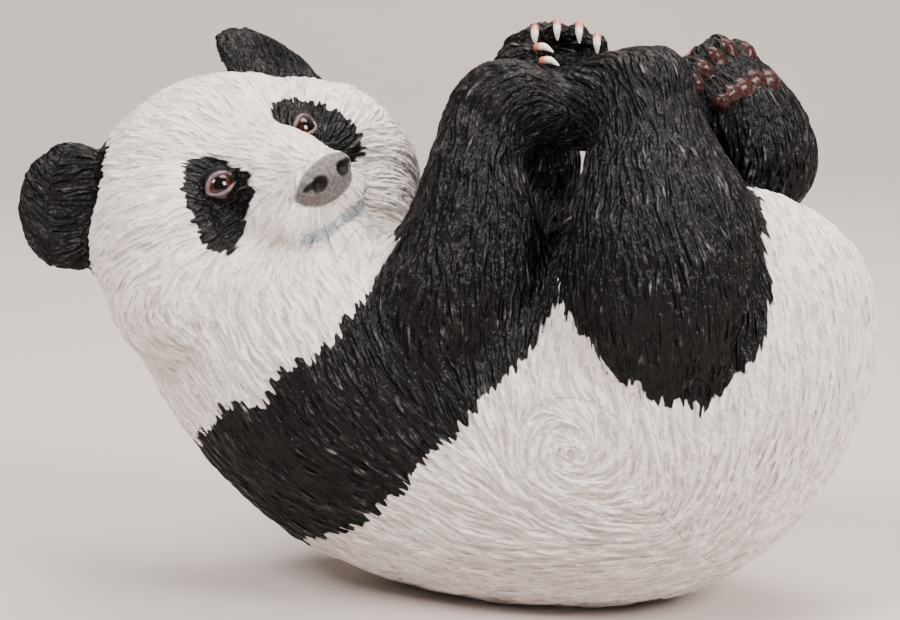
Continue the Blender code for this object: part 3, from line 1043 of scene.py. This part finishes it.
def claw_paint():
    """Cream horn with a coral root."""
    paint = Paint("claw_paint")
    where = paint.node("TexCoord").outputs["Object"]
    streaks = paint.ramp(paint.noise(where, 1200.0, 2.0), 0.3, 0.7)
    horn = paint.mix(streaks, (0.80, 0.74, 0.66, 1), (0.90, 0.86, 0.80, 1))
    far = paint.sum("ADD", paint.attribute("along").outputs["Fac"], paint.sum("MULTIPLY", streaks, 0.12))
    colour = paint.mix(paint.ramp(far, 0.2, 0.55), (0.62, 0.16, 0.10, 1), horn)
    paint.plug(paint.surface.inputs["Base Color"], colour)
    paint.surface.inputs["Roughness"].default_value = 0.35
    return paint.material


EYE_BALL = 4.0


def eye_space(side):
    """The eyeball's own frame: X is the way it looks."""
    x, y, z = EYE_AT
    return HEAD @ space_at((x - 0.4, side * y, z - 0.7), (0.93, side * 0.30, 0.05), (0, 0, 1))


def eyeball(name, side):
    polar = np.linspace(0.01, 2.2, 60)
    turn = np.linspace(0, 2 * math.pi, 64, endpoint=False)
    rows = [
        out_of(eye_space(side), EYE_BALL * np.stack([
            math.cos(p) * np.ones(64), math.sin(p) * np.cos(turn), math.sin(p) * np.sin(turn),
        ], axis=1))
        for p in polar
    ]
    obj = grid_piece(name, rows)
    layer = obj.data.attributes.new("polar", "FLOAT", "POINT")
    layer.data.foreach_set("value", np.repeat(polar, 64).astype(np.float32))
    return obj


def eyelid(name, side):
    """The rim of the eye: an almond with a corner toward the nose."""
    turn = np.linspace(0, 2 * math.pi, 72, endpoint=False)
    y = 3.5 * np.cos(turn) - side * 0.25
    z = np.where(np.sin(turn) > 0, 2.5, 2.2) * np.sin(turn) * np.abs(np.sin(turn)) ** 0.25
    corner = np.clip(-side * np.cos(turn), 0, 1) ** 6
    y -= side * 1.3 * corner
    z -= 0.9 * corner
    x = np.sqrt(np.maximum(EYE_BALL**2 - y**2 - z**2, 1.5)) + 0.05
    middle = np.stack([x, y, z], axis=1)
    outward = unit(middle * (0, 1, 1))
    thick = np.where(np.sin(turn) > 0, 0.62, 0.5)
    rings = []
    for angle in np.linspace(0, 2 * math.pi, 16, endpoint=False):
        lean = math.cos(angle) * outward + math.sin(angle) * np.array((1, 0, 0))
        rings.append(out_of(eye_space(side), middle + lean * thick[:, None]))
    return grid_piece(name, [*rings, rings[0]], closed=False)


def eye_paint():
    """A glossy brown eye with a dark pupil and a darker rim to its iris."""
    paint = Paint("eye_gloss")
    polar = paint.attribute("polar").outputs["Fac"]
    where = paint.node("TexCoord").outputs["Object"]
    streaks = paint.ramp(paint.noise(where, 1500.0, 2.0), 0.3, 0.7)
    iris = paint.mix(streaks, (0.012, 0.003, 0.001, 1), (0.05, 0.013, 0.004, 1))
    colour = paint.mix(paint.ramp(polar, 0.40, 0.50), (0.003, 0.002, 0.002, 1), iris)
    colour = paint.mix(paint.ramp(polar, 0.66, 0.78), colour, (0.012, 0.005, 0.004, 1))
    colour = paint.mix(paint.ramp(polar, 0.86, 1.0), colour, (0.012, 0.009, 0.009, 1))
    paint.plug(paint.surface.inputs["Base Color"], colour)
    paint.surface.inputs["Roughness"].default_value = 0.05
    return paint.material


def main():
    coat = Coat()
    fur = coat_paint()
    first = True
    for obj, slot in coat.cut(coat.fine, "near") + coat.cut(coat.coarse, "far"):
        finish_piece(obj, fur)
        if first:
            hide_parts("panda")
            first = False

    eye, lid = eye_paint(), plain_paint("lid_paint", (0.16, 0.105, 0.115), (0.075, 0.048, 0.053), 0.35, 900.0)
    for side, name in ((-1, "right"), (1, "left")):
        finish_piece(eyeball(f"eye_{name}", side), eye)
        finish_piece(eyelid(f"eyelid_{name}", side), lid)
    claws(claw_paint())


main()

def sweep():
    """A paper backdrop: a floor that curves up behind into a wall."""
    reach, bend, wide = 1.0, 0.8, 5.0
    turn = np.linspace(0, math.pi / 2, 25)
    line = [(-3.0, 0.0), *zip(reach + bend * np.sin(turn), bend * (1 - np.cos(turn))), (reach + bend, 4.0)]
    places = [(x, y, z) for y, z in line for x in (-wide, wide)]
    corners = [(2 * i, 2 * i + 1, 2 * i + 3, 2 * i + 2) for i in range(len(line) - 1)]
    mesh = mesh_of("floor", np.array(places), np.array(corners))
    mesh.polygons.foreach_set("use_smooth", np.ones(len(corners), bool))
    obj = bpy.data.objects.new("floor", mesh)
    obj.rotation_euler = (0, 0, CAMERA_AZIMUTH)
    bpy.context.scene.collection.objects.link(obj)
    return obj


floor = sweep()
floor.data.materials.append(plain_paint("paper", (0.60, 0.54, 0.515), (0.585, 0.525, 0.50), 0.8, 3.0))


def light(name, place, aim, size, power):
    lamp = bpy.data.lights.new(name, "AREA")
    lamp.size = size
    lamp.energy = power
    lamp.color = (1, 0.945, 0.915)
    obj = bpy.data.objects.new(name, lamp)
    obj.location = place
    obj.rotation_mode = "QUATERNION"
    obj.rotation_quaternion = (Vector(aim) - Vector(place)).to_track_quat("-Z", "Y")
    bpy.context.scene.collection.objects.link(obj)


light("key", (-0.45, -0.7, 0.95), (0, 0, 0.07), 0.4, 18)
light("fill", (0.95, -0.4, 0.75), (0, 0, 0.07), 0.45, 22)
light("top", (0.15, 0.25, 1.0), (0, 0, 0.07), 0.6, 10)
light("wall", (-0.1, 0.7, 1.6), (-0.4, 2.0, 0.4), 1.0, 25)
world = bpy.data.worlds.new("studio")
bpy.context.scene.world = world
world.use_nodes = True
world.node_tree.nodes["Background"].inputs["Color"].default_value = (0.64, 0.60, 0.57, 1)
world.node_tree.nodes["Background"].inputs["Strength"].default_value = 0.33

camera = bpy.data.objects.new("camera", bpy.data.cameras.new("camera"))
bpy.context.scene.collection.objects.link(camera)
bpy.context.scene.camera = camera
camera.data.lens = CAMERA_LENS
camera.data.sensor_width = 36
camera.data.clip_start = 0.02
spot, back = eye_point()
camera.location = (spot - ORIGIN) * UNIT
camera.rotation_mode = "QUATERNION"
camera.rotation_quaternion = Vector(-back).to_track_quat("-Z", "Y")
